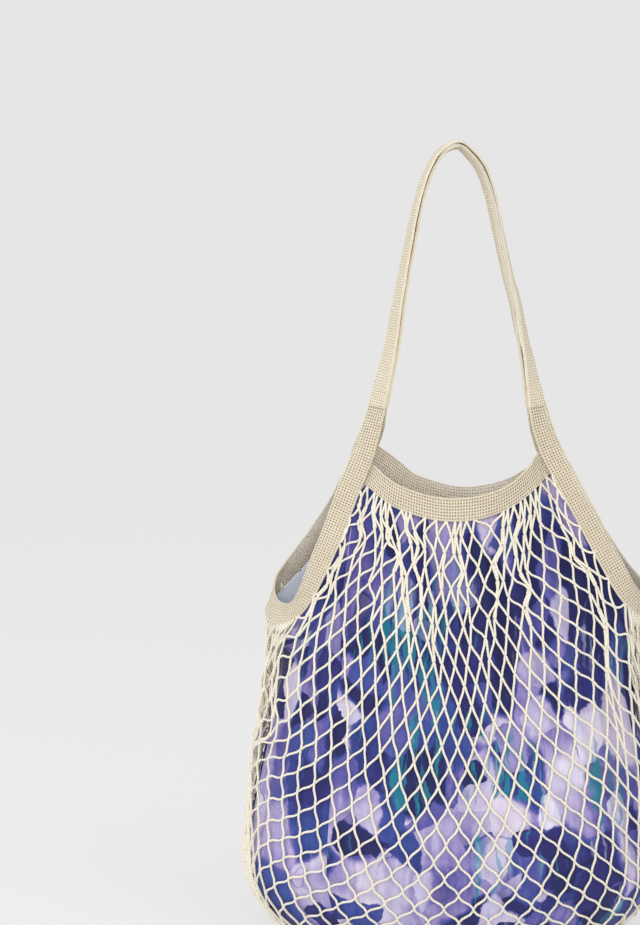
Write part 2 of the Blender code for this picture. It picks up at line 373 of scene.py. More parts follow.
# Rows: the near edge's x, y and z, the turn from face on, and how far the inner strap opens, both in degrees.
HANDLE = (
    (-59, -11.5, 459, 44, 2),
    (-54.5, -12, 484, 53, 3),
    (-49.5, -12, 510, 61, 3),
    (-44, -12, 553, 70, 3),
    (-35.5, -11, 604, 76, 4),
    (-29, -11, 638, 79, 4),
    (-21, -10.5, 662.5, 81, 4),
    (-11, -10.5, 679, 84, 5),
    (3, -10.5, 685.5, 86, 7),
    (14, -10.5, 678, 88, 11),
    (24, -10.5, 665, 91, 15),
    (32, -10.5, 642, 93, 16),
    (38, -10.5, 607, 97, 14),
    (45, -11, 572, 100, 14),
    (50.5, -11, 550, 103, 16),
    (53.5, -11.5, 530, 106, 16),
    (56, -12, 512, 112, 16),
    (58, -12, 497, 119, 16),
    (59.5, -12, 482, 127, 12),
    (62, -11.5, 460, 143, 5),
)
# The steps of a smooth curve from each row of a table to the next.
STEPS = 8


def strap_cells(around):
    """The cells away from a doubled tape's two folds, which are knitted close."""
    first_fold = (STRAP_FLAT + math.pi * STRAP_RADIUS) / 2
    return min(abs(around - first_fold), abs(around - 3 * first_fold)) > FOLD_RIB


def doubled_tape(name, edges, seed, node):
    knit_tape(name, *edges, 1, doubled_section, 0, STRAP_GIRTH, strap_cells, STRAP_HOLE, STRAP_RUFFLE, seed,
              node, 1, lit_strap_finish)


def handle_layers():
    """The near and far edges of the outer strap, and of the inner one."""
    rows = smooth(HANDLE, STEPS)
    near, turn, splay = rows[:, :3], np.radians(rows[:, 3]), np.radians(rows[:, 4])
    along = unit(np.gradient(near, axis=0))
    across = np.stack([-np.cos(turn), np.sin(turn), np.zeros_like(turn)], axis=1)
    across = unit(across - along * (across * along).sum(1, keepdims=True))
    outward = np.cross(along, across)
    opened = across * np.cos(splay)[:, None] - outward * np.sin(splay)[:, None]
    lift = (STRAP_THICKNESS + STRAP_GAP) / 2
    outer = near + outward * lift
    inner = near - np.cross(along, opened) * lift
    return (outer, outer + across * TAPE_WIDTH), (inner, inner + opened * TAPE_WIDTH)


outer_strap, inner_strap = handle_layers()
doubled_tape("outer_strap", outer_strap, 11, "front_handle")
doubled_tape("inner_strap", inner_strap, 12, "back_handle")

# Side bands. One length of single tape runs down the front edge of each side opening, round its bottom and up
# its back edge, and is sewn to a strap's end at each of its own. Its edges roll under, and a second layer
# lies inside it. The second layer's inside face is painted paler, as painted light where the bag's inside
# shades it, and the faces where the two layers meet are painted dark, as painted shade.
BAND_HOLE = 1.2
BAND_COLOURS = ((0.64, 0.56, 0.41), (0.73, 0.66, 0.525))
# The inner layer's tape: the bands' same tape made paler, painted light on its face inside the bag, where the
# bag shades it.
LIT_INNER_TAPE_COLOURS = ((0.86, 0.76, 0.57), (0.94, 0.86, 0.70))
SIDE_RUFFLE = 0.35
SEAM_GAP = 0.25
ROLL = 0.55
ROLL_TURN = 3.4
EDGE_RIB = 1.6
OUTER_REACH = TAPE_WIDTH / 2 - ROLL + ROLL * ROLL_TURN
INNER_REACH = 4 * CELL_WIDE
INNER_NARROWING = 0.97
INNER_DROP = YARN + 0.2
# Rows: the free edge's x, y and z, and the direction across the tape to its sewn edge.
LEFT_SIDE = (
    (-84, -2, 434, 16.5, -11, -3),
    (-91, -7, 417, 19, -7, -7),
    (-100, -14, 396, 19.5, -7, -8),
    (-112, -24, 365, 19, -8, -8),
    (-122, -30, 340, 18, -10, -6),
    (-131, -31, 317, 15.5, -13, -5),
    (-137, -28, 301, 11, -16, -6),
    (-142.5, -20, 293.5, 2, -15, -14),
    (-149, -10, 292.5, -6, -9, -17),
    (-154, -1, 296, -9, 0, -18),
    (-156, 8, 304, -5, 9, -17),
    (-153, 16, 315, 3, 13, -15),
    (-143, 22, 328, 11, 13, -13),
    (-127, 24, 349, 13, 12, -12),
    (-111, 21, 374, 15, 11, -11),
    (-96, 14, 403, 17, 9, -9),
    (-86, 10, 429, 19, 1, -6),
)
RIGHT_SIDE = (
    (86, -4, 442, -19, -9, -5),
    (94, -8, 424, -20, -7, -8),
    (102, -12, 409, -20, -7, -9),
    (114, -20, 386, -18.5, -7, -9.5),
    (127, -28, 361, -18.5, -8, -9.5),
    (140, -34, 336, -18, -9, -9.5),
    (152, -35, 314, -17, -10, -9),
    (162, -27, 300, -11, -13, -13),
    (169, -10, 294, -1, -9, -17),
    (172, 6, 298, 5, 6, -17),
    (165, 18, 309, 0, 13, -16),
    (149, 25, 330, -10, 13, -13),
    (128, 25, 362, -14, 12, -12),
    (107, 20, 394, -16, 10, -10),
    (93, 12, 424, -19, 3, -7),
)


def rolled_section(across):
    """Across a single tape: flat, with each edge rolled back. Gives the offsets across and outward."""
    half = TAPE_WIDTH / 2 - ROLL
    past = np.clip(np.abs(across) - half, 0, None) / ROLL
    return (np.sign(across) * (np.minimum(np.abs(across), half) + ROLL * np.sin(past)),
            -ROLL * (1 - np.cos(past)))


def outer_cells(across):
    """The cells between the close-knit ribs along a band's edges."""
    return abs(across) < TAPE_WIDTH / 2 - EDGE_RIB


def every_cell(across):
    return True


def inner_section(across):
    """Across the inner layer of a band: flat, a yarn's thickness behind the outer one."""
    return across * INNER_NARROWING, np.full_like(across, -INNER_DROP)


band_finish = tape_look("cotton_tape", *BAND_COLOURS)
# The inner layers' tape, painted paler: painted light.
lit_inner_tape_finish = tape_look("inner_cotton_tape_painted_light", *LIT_INNER_TAPE_COLOURS)


def band_tape(name, edges, sign, wave, seed, node):
    """A band of two layers, whose holes lie half a cell apart, so that none is seen through."""
    knit_tape(name, *edges, sign, rolled_section, -OUTER_REACH, OUTER_REACH, outer_cells, BAND_HOLE, wave,
              seed, node, -1, band_finish)
    # The inner layer's inside face wears the painted light, and its face against the outer layer the painted
    # shade.
    knit_tape(name + "_inner", *edges, sign, inner_section, -INNER_REACH, INNER_REACH, every_cell, BAND_HOLE,
              wave, seed, node, 1, lit_inner_tape_finish)


def seam_row(layer, end):
    """The row that continues a strap as a side band, a stitched seam below the strap's end."""
    near, far = layer
    beyond = unit(near[end] - near[1 if end == 0 else -2]) * SEAM_GAP
    return (*(far[end] + beyond), *(near[end] - far[end]))


def band_edges(rows):
    """A band's free edge and its sewn edge."""
    dense = smooth(rows, STEPS)
    free = dense[:, :3]
    return free, free + unit(dense[:, 3:]) * TAPE_WIDTH


def side_edges(table, end):
    """A side band's two edges, with its ends at the straps' ends."""
    return band_edges([seam_row(outer_strap, end), *table, seam_row(inner_strap, end)])


left_edges, right_edges = side_edges(LEFT_SIDE, 0), side_edges(RIGHT_SIDE, -1)
band_tape("left_side_tape", left_edges, 1, SIDE_RUFFLE, 21, "left_side_band")
band_tape("right_side_tape", right_edges, -1, SIDE_RUFFLE, 22, "right_side_band")

# Mouth bands. A length of tape binds the front of the mouth and another the back. Their ends are sewn under
# the side bands, and the net and the cloth are gathered along their lower edges. Rows are as for a side band.
MOUTH_RUFFLE = 0.3
FRONT_MOUTH = (
    (-76, -7.5, 416, -6, -4, -20),
    (-69, -12, 411, -5, -5, -20),
    (-60, -24, 403, -3, -4, -20),
    (-46, -33, 395, -2, -3, -21),
    (-16, -41, 387, 0, -2, -21),
    (12, -41, 387, 0, -2, -21),
    (34, -38, 392, 1, -2, -21),
    (50, -32, 400, 2, -3, -20),
    (63, -22, 412, 6, -3, -19),
    (69, -10, 419, 9, -4, -17),
    (76, -7, 425, 10, -4, -16),
)
BACK_MOUTH = (
    (-67, 3, 428, -8, 5, -19),
    (-62, 9, 424, -8, 4, -20),
    (-56, 17, 419, -6, 3, -20.5),
    (-45, 26, 409.5, -4, 2, -21),
    (-34, 33, 400, -3, 3, -21),
    (-17, 39, 393, -1, 3, -21),
    (3, 42, 388, 0, 2, -21),
    (24, 41, 388, 0, 2, -21),
    (47, 36, 394, 1, 3, -21),
    (63, 26, 404, 4, 5, -20),
    (73, 13, 413, 8, 6, -18),
    (79, 7, 418, 9, 5, -18),
)
front_edges, back_edges = band_edges(FRONT_MOUTH), band_edges(BACK_MOUTH)
band_tape("front_mouth_tape", front_edges, -1, MOUTH_RUFFLE, 31, "front_mouth_band")
band_tape("back_mouth_tape", back_edges, 1, MOUTH_RUFFLE, 32, "back_mouth_band")

# Cloth sack. A printed cotton cloth, sewn shut at the bottom, hangs inside the net from the same seams. It is
# full, so it stands out roundly, with soft troughs where it is gathered, and its wrong side is pale.
# Rows: the height, the full sack's reach to the left, right, front and back, and how far its sides draw in.
SACK = (
    (400, 150, 155, 38, 42, 0),
    (350, 158, 162, 48, 49, 0),
    (300, 165, 168, 60, 60, 2),
    (250, 168, 169, 70, 69, 16),
    (205, 173, 173, 78, 76, 18),
    (150, 178, 178, 84, 82, 11),
    (100, 183, 182, 87, 86, 4),
    (65, 184, 183, 86, 86, 0),
    (42, 179, 178, 83, 83, 0),
    (25, 169, 168, 78, 78, 0),
    (12, 157, 156, 71, 71, 0),
    (3, 143, 143, 61, 61, 0),
    (0, 128, 128, 49, 49, 0),
)
SQUARENESS = 2.3
WIDEST = 100.0
GATHER_FALL = 170.0
SHARED_TOP = 250.0
TUCK = 0.6
FINE_STEPS = 400
# Shares of a side opening's sewn edge, and the quarter turns from the front at which they lie.
SIDE_LANDMARKS = ((0, 0.47), (0.36, 0.78), (0.5, 1.0), (0.64, 1.22), (1, 1.53))
# The rows of a side band between which the sacks are sewn to it, and how many short of a mouth band's ends.
SIDE_ENDS = {"left": (2.95, 16.0), "right": (2.85, 14.0)}
MOUTH_END = 0.6


def section_at(heights):
    """The full sack's four reaches and how far its sides draw in, at some heights."""
    table = np.array(SACK, float)[::-1]
    smooth_table = smooth(table, 6)
    return [np.interp(heights, smooth_table[:, 0], column) for column in smooth_table[:, 1:].T]


def plan_point(heights, angles):
    """Where the full sack's outline is at a height, and at an angle from the front."""
    left, right, front, back, _ = section_at(heights)
    sine, cosine = np.sin(angles), np.cos(angles)
    power = 2 / SQUARENESS
    x = np.where(sine > 0, right, left) * np.sign(sine) * np.abs(sine) ** power
    y = np.where(cosine > 0, front, back) * -np.sign(cosine) * np.abs(cosine) ** power
    return np.stack([x, y], axis=1)


def plan_angles(quarters):
    """Angles that put the points at even distances round the full sack's widest outline."""
    fine = np.linspace(0, 2 * np.pi, 721)
    far = travelled(plan_point(np.full_like(fine, WIDEST), fine))
    whole = [0, 1, 2, 3, 4]
    marks = np.interp(whole, fine / (np.pi / 2), far)
    return np.interp(np.interp(quarters % 4, whole, marks), far, fine)


def sewn_line(edges, sign, first_row, last_row, beyond, inside):
    """Part of a band's sewn edge, as evenly spaced points, moved on and into the bag by two distances."""
    free, sewn = edges
    way = unit(sewn - free)
    line = sewn + way * beyond - unit(np.cross(np.gradient(sewn, axis=0), way)) * sign * inside
    line = at(np.linspace(first_row * STEPS, last_row * STEPS, FINE_STEPS), np.arange(len(line)), line)
    marks = travelled(line)
    return at(np.linspace(0, marks[-1], FINE_STEPS), marks, line)


def mouth_line(edges, sign, table, beyond, inside):
    """The part of a mouth band's sewn edge between the side bands."""
    return sewn_line(edges, sign, MOUTH_END, len(table) - 1 - MOUTH_END, beyond, inside)


def rim_lines(beyond, inside=0.0):
    """The sacks' upper edges. The front's and back's run from the left, and the sides' from the front."""
    return {
        "front": mouth_line(front_edges, -1, FRONT_MOUTH, beyond, inside),
        "right": sewn_line(right_edges, -1, *SIDE_ENDS["right"], beyond, inside),
        "back": mouth_line(back_edges, 1, BACK_MOUTH, beyond, inside),
        "left": sewn_line(left_edges, 1, *SIDE_ENDS["left"], beyond, inside),
    }


def along_line(line, share):
    """The points at some shares of an evenly spaced line."""
    return at(np.asarray(share) * (len(line) - 1), np.arange(len(line)), line)


def rim_point(lines, quarters):
    """The upper edge where it meets a quarter turn from the middle of the front."""
    marks = np.array(SIDE_LANDMARKS)
    corner = marks[0, 1]
    quarters = (np.asarray(quarters, float) + corner) % 4 - corner
    front = along_line(lines["front"], (quarters + corner) / (2 * corner))
    right = along_line(lines["right"], np.interp(quarters, marks[:, 1], marks[:, 0]))
    back = along_line(lines["back"], 1 - (quarters - marks[-1, 1]) / (4 - 2 * marks[-1, 1]))
    left = along_line(lines["left"], np.interp(4 - quarters, marks[:, 1], marks[:, 0]))
    ends = (corner, marks[-1, 1], 4 - marks[-1, 1])
    choose = np.select([quarters <= end for end in ends], [0, 1, 2], 3)
    return np.stack([front, right, back, left])[choose, np.arange(len(quarters))]


def sack_grid(lines, quarters, upper, lower, foot, tucked):
    """Rings of points from the sewn edge down to the middle of the flat base."""
    angles = plan_angles(quarters)
    rim = rim_point(lines, quarters)
    top = rim[:, 2]
    gather = rim[:, :2] - plan_point(top, angles)
    fine = np.linspace(SHARED_TOP, 0, FINE_STEPS)
    fall = travelled(np.column_stack([section_at(fine)[2], fine]))
    shared = np.interp(np.linspace(0, fall[-1], lower + 1), fall, fine)
    levels = [top + (SHARED_TOP - top) * row / upper for row in range(upper)]
    levels += [np.full_like(top, height) for height in shared]
    rings = []
    for level in levels:
        hold = np.clip(1 - (top - level) / GATHER_FALL, 0, 1)[:, None] ** 2
        plan = plan_point(level, angles) + gather * hold
        if tucked:
            loose = np.clip((top - level) / (top - SHARED_TOP), 0, 1)
            plan[:, 0] -= np.sign(plan[:, 0]) * section_at(level)[4] * TUCK * np.sin(angles) ** 4 * loose
        rings.append(np.column_stack([plan, level]))
    rings += [rings[-1] * (1 - step / foot, 1 - step / foot, 1) for step in range(1, foot)]
    return np.array(rings)


def grid_normals(rings):
    """The ways out from each point of the rings."""
    down = np.gradient(rings, axis=0)
    around = (np.roll(rings, -1, axis=1) - np.roll(rings, 1, axis=1)) / 2
    return unit(np.cross(around, -down))


LINING_COLUMNS = 230
# Rings above the level where they lie flat, from there to the base's edge, and in the base.
LINING_RINGS = (26, 62, 14)
LINING_DEPTH = 3.1
LINING_THICKNESS = 0.6
LINING_SEAM = -1.5
MM_PER_QUARTER = 215.0
RIPPLE = 0.8
CENTRE_DROP = 10
# Troughs: quarter turn and height of each end, depth and half-width in millimetres.
TROUGHS = (
    (-0.40, 372, -0.47, 230, 7, 9),
    (-0.27, 366, -0.33, 250, 5, 7),
    (-0.13, 360, -0.10, 240, 6, 8),
    (0.02, 360, 0.06, 270, 4, 6),
    (0.15, 362, 0.20, 225, 6, 8),
    (0.30, 372, 0.38, 215, 8, 9),
    (0.42, 380, 0.62, 120, 8, 10),
    (0.56, 330, 0.74, 90, 7, 9),
    (-0.62, 330, -0.70, 150, 5, 9),
    (-0.80, 280, -0.84, 90, 6, 9),
    (0.86, 275, 0.90, 70, 7, 9),
    (1.00, 270, 1.02, 90, 6, 10),
    (-1.00, 270, -0.99, 80, 6, 10),
    (1.15, 280, 1.12, 110, 6, 9),
    (-1.15, 280, -1.18, 110, 6, 9),
    (1.62, 370, 1.52, 210, 7, 9),
    (1.80, 366, 1.84, 240, 5, 8),
    (1.97, 362, 1.93, 230, 6, 8),
    (2.12, 362, 2.16, 260, 5, 7),
    (2.30, 368, 2.38, 200, 7, 9),
    (-0.52, 62, -0.10, 30, 4, 8),
    (0.16, 70, 0.60, 24, 4, 8),
)
# The quarter turn at which the rings begin, at the left corner of the front.
RING_START = -0.5

lining_quarters = np.arange(LINING_COLUMNS) / LINING_COLUMNS * 4 + RING_START
lining = sack_grid(rim_lines(LINING_SEAM), lining_quarters, *LINING_RINGS, True)
normals = grid_normals(lining)
turns = np.broadcast_to((lining_quarters + 2) % 4 - 2, lining.shape[:2])
heights = lining[:, :, 2]
dip = np.zeros_like(heights)
for first, high, last, low, depth, wide in TROUGHS:
    along = np.clip((high - heights) / (high - low), 0, 1)
    apart = (turns - first - (last - first) * along + 2) % 4 - 2
    dip += depth * np.exp(-((apart * MM_PER_QUARTER / wide) ** 2)) * np.sin(np.pi * along) ** 0.6
dip += RIPPLE * (1 + np.sin(turns * 21 + heights / 31)) * np.clip((heights - 150) / 200, 0, 1)
on_foot = np.arange(len(lining))[:, None] >= LINING_RINGS[0] + LINING_RINGS[1] + 1
lining = lining - normals * (LINING_DEPTH + np.where(on_foot, 0, dip))[:, :, None]


def sewn_cloth(rings):
    """A cloth through the rings, closed at the middle of the base, with a map of it spread flat."""
    shape = bmesh.new()
    lay = shape.loops.layers.uv.new("cloth")
    verts = [[shape.verts.new(point * MM) for point in ring] for ring in rings]
    middle = shape.verts.new(rings[-1].mean(0) * MM)
    drop = np.concatenate([[0], np.cumsum(np.linalg.norm(np.diff(rings, axis=0), axis=2).mean(1))])
    count = rings.shape[1]
    wide = 4 * MM_PER_QUARTER / count
    for row in range(len(verts) - 1):
        for i in range(count):
            j = (i + 1) % count
            face = shape.faces.new((verts[row][i], verts[row + 1][i], verts[row + 1][j], verts[row][j]))
            for loop, (a, b) in zip(face.loops, ((i, row), (i, row + 1), (i + 1, row + 1), (i + 1, row))):
                loop[lay].uv = (a * wide * MM, -drop[b] * MM)
    for i in range(count):
        face = shape.faces.new((verts[-1][i], middle, verts[-1][(i + 1) % count]))
        for loop, (a, past) in zip(face.loops, ((i, 0), (i + 0.5, CENTRE_DROP), (i + 1, 0))):
            loop[lay].uv = (a * wide * MM, (-drop[-1] - past) * MM)
    mesh = bpy.data.meshes.new("cloth_sack")
    shape.to_mesh(mesh)
    shape.free()
    mesh.shade_smooth()
    return mesh


lining_mesh = sewn_cloth(lining)

NAVY, INK, BLUE = (0.015, 0.018, 0.10), (0.026, 0.024, 0.16), (0.036, 0.070, 0.29)
VIOLET, LAVENDER = (0.11, 0.095, 0.36), (0.31, 0.26, 0.53)
LILAC, PALE = (0.57, 0.51, 0.68), (0.75, 0.70, 0.81)
TEAL, HAZE = (0.015, 0.20, 0.30), (0.45, 0.50, 0.76)
PALETTE = (
    (0.10, NAVY), (0.24, INK), (0.36, BLUE), (0.50, VIOLET), (0.63, LAVENDER), (0.76, LILAC), (0.92, PALE))
WRONG_SIDE = ((0.62, 0.68, 0.86), (0.86, 0.88, 0.94))
SWAY = (0.018, 0.018, 0.0)
THREADS = 560.0

print_finish = Finish("printed_cotton", Roughness=0.8, Sheen_Weight=0.12, Specular_IOR_Level=0.3)
cloth = print_finish.node("UVMap", {"uv_map": "cloth"})
sway = print_finish.node("TexNoise", {}, {"Vector": cloth, "Scale": 34.0, "Detail": 4.0, "Roughness": 0.6}, 1)


def dabs(scale, smoothness, shift, stretch):
    """Two random values for each dab of colour, and the place that they are taken at."""
    shifted = print_finish.node("VectorMath", {"operation": "ADD"}, {0: cloth, 1: shift})
    moved = print_finish.node("VectorMath", {"operation": "MULTIPLY_ADD"}, {0: sway, 1: SWAY, 2: shifted})
    cells = print_finish.node("TexVoronoi", {"feature": "SMOOTH_F1"}, {
        "Vector": print_finish.stretch(moved, stretch), "Scale": scale, "Smoothness": smoothness}, 1)
    return [print_finish.node("SeparateColor", {}, {"Color": cells}, out) for out in (0, 1)] + [moved]


def rising(value, low, high):
    """Smoothly from 0 at the low value to 1 at the high one."""
    return print_finish.node(
        "MapRange", {"interpolation_type": "SMOOTHSTEP"}, {"Value": value, 1: low, 2: high})


large, large_two, large_place = dabs(20.0, 0.22, (0.85, 0.6, 0.0), (1.25, 0.85, 1))
small, small_two, _ = dabs(36.0, 0.20, (0.7, 0.4, 0.0), (1.15, 0.9, 1))
broad = print_finish.noise(large_place, 8.0, 1.0)
streak = print_finish.noise(print_finish.stretch(large_place, (150, 16, 1)), 1.0, 3.0, 0.6)
wash = print_finish.noise(large_place, 60.0, 4.0, 0.6)
shade = streak * 0.22 + wash * 0.22 - 0.22
under = print_finish.node("ValToRGB", {"stops": PALETTE}, {"Fac": large * 0.80 + broad * 0.7 - 0.33 + shade})
over = print_finish.node("ValToRGB", {"stops": PALETTE}, {"Fac": small * 0.90 + broad * 0.4 - 0.24 + shade})
ground = print_finish.mix(rising(small_two, 0.54, 0.64), under, over)
ground = print_finish.mix(rising(streak * 0.9 + large_two * 0.35, 0.76, 0.86) * 0.9, ground, TEAL)
ground = print_finish.mix(rising(streak * 0.8 + small * 0.35, 0.68, 0.84) * 0.5, ground, HAZE)
warp = print_finish.node("TexWave", {"bands_direction": "X"}, {"Vector": cloth, "Scale": THREADS})
weft = print_finish.node("TexWave", {"bands_direction": "Y"}, {"Vector": cloth, "Scale": THREADS})
creases = print_finish.bump(wash, 0.0012, 0.25)
print_finish.drive(Base_Color=ground, Normal=print_finish.bump(warp * weft, 0.0002, 0.5, creases))

wrong_side = Finish("cloth_wrong_side", Roughness=0.9, Sheen_Weight=0.1, Specular_IOR_Level=0.2)
wrong_place = wrong_side.node("UVMap", {"uv_map": "cloth"})
wrong_side.drive(Base_Color=wrong_side.mix(wrong_side.noise(wrong_place, 30.0, 2.0), *WRONG_SIDE))

lining_piece = make_object("cloth_sack_flat", lining_mesh, print_finish.material, wrong_side.material)
wall = lining_piece.modifiers.new("cloth", "SOLIDIFY")
wall.thickness, wall.offset, wall.material_offset = LINING_THICKNESS * MM, -1, 1
lining_piece = baked_mesh(lining_piece, "cloth_sack")
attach(lining_piece, "root")
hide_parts("lining")

# Net. A sack of knotless netting in two-ply cotton cord: the cords cross in pairs, touch for a few
# millimetres and part again. It is gathered under the mouth bands, its cut sides are bound by the side bands,
# and it is closed along the middle of the base. Its lie is given, and springs then even out its meshes.
FRONT_COLUMNS = 26
SIDE_COLUMNS = 18
PANEL = FRONT_COLUMNS + SIDE_COLUMNS
COLUMNS = 2 * PANEL
LIMB_ROWS = 10
JOIN_ROW = 16
FOOT_ROW = 24
ROWS = 30
CORD = 2.1
CORD_DEPTH = 1.2
CORD_UNEVEN = 0.05
CORD_COLOURS = ((0.84, 0.78, 0.64), (0.91, 0.86, 0.74))
# The cord's colour in the grooves between its two plies: painted shade.
PLY_GROOVE_SHADE = (0.60, 0.54, 0.40)
PLY_TWIST = 0.0029
MESH_SIDE = 18.3
MESH_UNEVEN = 0.03
# How far past the bands' sewn edges, and how far inside them, the net is sewn and its cords end.
NET_SEAM = (-1.6, 0.9)
CORD_ENDS = (-6.5, 2.0)
SIDE_ROW_FALL = 17.6
SIDE_TOP = 282
SIDE_BULGE = 40
# The shares of a side opening's sewn edge between which its bottom runs.
SIDE_SPAN = (0.37, 0.63)
BASE_HALF = 120.0
# A point in the sack, and how much each axis counts when its inside is told from its outside.
SACK_MIDDLE = (0, 0, 150)
SACK_SHARES = (1, 1, 0.3)
# How far from the middle a look at the sack's front or back starts, and where its outline is looked for.
OUTSIDE = 200
BESIDE = 6
SURFACE_SEAM = 1.0
SURFACE_COLUMNS = 300
SURFACE_RINGS = (24, 60, 14)
# How the springs settle: the steps, the pull back to the given lie, how hard a slack link pushes beside a
# stretched one's pull, how far each step overshoots, and how often the crossings are put back on the sack.
SETTLE_STEPS = 240
HOLD = 0.05
PUSH = 0.18
OVERSHOOT = 1.5
RESEAT = 8
# The lie of the front: for every third row, the x and z of every third or fourth column, left to right.
LIE_ROWS = (3, 6, 9, 12, 15, 18, 21, 24)
LIE_COLUMNS = (0, 3, 6, 9, 13, 17, 20, 23, 26)
LIE = (
    (-96, 358, -74, 345, -52, 337, -36, 331, -6, 325, 33, 330, 52, 336, 77, 347, 101, 371),
    (-116, 325, -92, 308, -62, 296, -38, 286, -6, 278, 35, 286, 62, 296, 98, 309, 123, 338),
    (-136, 287, -112, 270, -76, 255, -43, 243, 0, 230, 42, 240, 79, 252, 119, 267, 146, 299),
    (-158, 250, -134, 225, -93, 202, -54, 187, 0, 179, 55, 186, 101, 203, 133, 224, 153, 247),
    (-168, 205, -147, 186, -114, 160, -67, 139, 0, 128, 69, 139, 117, 157, 151, 174, 170, 190),
    (-174, 166, -170, 157, -134, 117, -83, 90, 1, 80, 86, 91, 133, 112, 167, 130, 179, 146),
    (-178, 124, -176, 112, -154, 84, -97, 52, 1, 40, 97, 47, 152, 63, 176, 79, 184, 98),
    (-178, 88, -177, 74, -166, 48, -110, 18, 2, 4, 110, 11, 163, 29, 181, 46, 186, 64),
)
# Where the columns hang from the mouth's front, and mirrored from its back, in bunches, as shares of it.
BUNCHES = (0, 0.012, 0.065, 0.085, 0.115, 0.14, 0.16, 0.225, 0.245, 0.265, 0.335, 0.385, 0.43, 0.47,
           0.495, 0.52, 0.555, 0.695, 0.715, 0.745, 0.785, 0.81, 0.845, 0.88, 0.925, 0.975, 1)
# Pleats in the front and the back: column and row of each end, how far the columns draw in, and the width.
FRONT_PLEATS = (
    (25.4, 3, 21.4, 17, 0.68, 1.5),
    (5.2, 0, 9.8, 9, 0.6, 1.0),
    (8.2, 0, 11.4, 8, 0.5, 0.9),
    (13.4, 0, 14.6, 6, 0.5, 0.9),
    (18.0, 0, 16.4, 7, 0.6, 1.0),
    (21.2, 0, 19.4, 9, 0.5, 1.0),
)
BACK_PLEATS = ((3.2, 2, 4.6, 14, 0.55, 1.4), (21.8, 2, 20.4, 14, 0.55, 1.4))
# How far along itself a pleat acts, and the share of its length over which it fades out.
PLEAT_ENDS = (-0.15, 1.15)
PLEAT_FADE = 0.4

net_random = np.random.default_rng(7)
net_lines, tail_lines = rim_lines(*NET_SEAM), rim_lines(*CORD_ENDS)
surface_quarters = np.arange(SURFACE_COLUMNS) / SURFACE_COLUMNS * 4 + RING_START
surface = sack_grid(rim_lines(SURFACE_SEAM), surface_quarters, *SURFACE_RINGS, False)
surface = surface - grid_normals(surface) * CORD_DEPTH
numbers = np.arange(surface[:, :, 0].size).reshape(surface.shape[:2])
beside = np.roll(numbers, -1, axis=1)
quads = np.stack([numbers[:-1], numbers[1:], beside[1:], beside[:-1]], axis=-1)
surface_faces = quads.reshape(-1, 4).tolist() + [numbers[-1][::-1].tolist()]
sack_tree = BVHTree.FromPolygons([tuple(point) for point in surface.reshape(-1, 3)], surface_faces)


def on_sack(points):
    """The nearest points of the sack's surface, and the ways out from them."""
    found = [sack_tree.find_nearest(point) for point in points]
    places = np.array([f[0] for f in found])
    ways = np.array([f[1] for f in found])
    inward = (ways * (points - SACK_MIDDLE) * SACK_SHARES).sum(1) < 0
    ways[inward] *= -1
    return places, ways


def seen_on(x, z, front):
    """The point of the sack's front or back that is at a given x and z, or the nearest one at its outline."""
    side = -1 if front else 1
    hit = sack_tree.ray_cast((x, side * OUTSIDE, z), (0, -side, 0))[0]
    return hit if hit else sack_tree.find_nearest((x, side * BESIDE, z))[0]


lie_rows = smooth(np.array(LIE, float), 3)
lie = smooth(np.moveaxis(lie_rows.reshape(len(lie_rows), -1, 2), 1, 0).reshape(len(LIE[0]) // 2, -1), 6)
lie = np.moveaxis(lie.reshape(len(lie), -1, 2), 1, 0)
lie_columns = smooth(np.array(LIE_COLUMNS, float)[:, None], 6)[:, 0]


def drawn_in(column, row, pleats):
    """A column's place after the pleats have drawn the net together."""
    for first, start_row, final, last_row, draw, wide in pleats:
        along = (row - start_row) / (last_row - start_row)
        if PLEAT_ENDS[0] < along < PLEAT_ENDS[1]:
            apart = column - first - (final - first) * along
            fade = min(1, (PLEAT_ENDS[1] - along) / PLEAT_FADE)
            column -= draw * apart * math.exp(-((apart / wide) ** 2)) * fade
    return column


def mouth_point(lines, column, front):
    """Where a column of the front, or of the back counted from the right, hangs from the mouth."""
    share = np.interp(column, range(len(BUNCHES)), BUNCHES)
    return along_line(lines["front"], share) if front else along_line(lines["back"], 1 - share)


def laid(column, row, front):
    """The given lie of a crossing of the front or back panel, down to the foot."""
    bare = column if front else FRONT_COLUMNS - column
    top = mouth_point(net_lines, column, front)
    if row == 0:
        return top
    moved = np.clip(drawn_in(bare, row, FRONT_PLEATS if front else BACK_PLEATS), 0, FRONT_COLUMNS)
    here = lie[int(max(row - LIE_ROWS[0], 0))]
    x, z = [np.interp(moved, lie_columns, here[:, k]) for k in (0, 1)]
    if row < LIE_ROWS[0]:
        part = row / LIE_ROWS[0]
        x, z = top[0] * (1 - part) + x * part, top[2] * (1 - part) + z * part
    return np.array(seen_on(x, z, front))


def lie_point(column, row):
    """Where a crossing is laid, before the springs settle."""
    front = column < PANEL
    panel = column % PANEL
    above = min(row, FOOT_ROW)
    sign = 1 if front else -1
    if panel <= FRONT_COLUMNS:
        place = laid(panel, above, front)
        line_x = BASE_HALF * math.sin((panel / FRONT_COLUMNS - 0.5) * math.pi) * sign
    else:
        part = (panel - FRONT_COLUMNS) / SIDE_COLUMNS
        turn = math.sin(math.pi * part)
        place = laid(FRONT_COLUMNS, above, front) * (1 - part) + laid(0, above, not front) * part
        place[2] += (SIDE_TOP - SIDE_ROW_FALL * (above - LIMB_ROWS) - place[2]) * turn
        place[0] += SIDE_BULGE * turn * sign
        place = np.array(sack_tree.find_nearest(place)[0])
        line_x = (BASE_HALF + 4 * turn) * sign
    if row > FOOT_ROW:
        under = (row - FOOT_ROW) / (ROWS - FOOT_ROW)
        height = place[2] * (1 - under) ** 2.5 + CORD_DEPTH * under
        place = np.append(place[:2] * (1 - under) + np.array([line_x, 0]) * under, height)
    return place


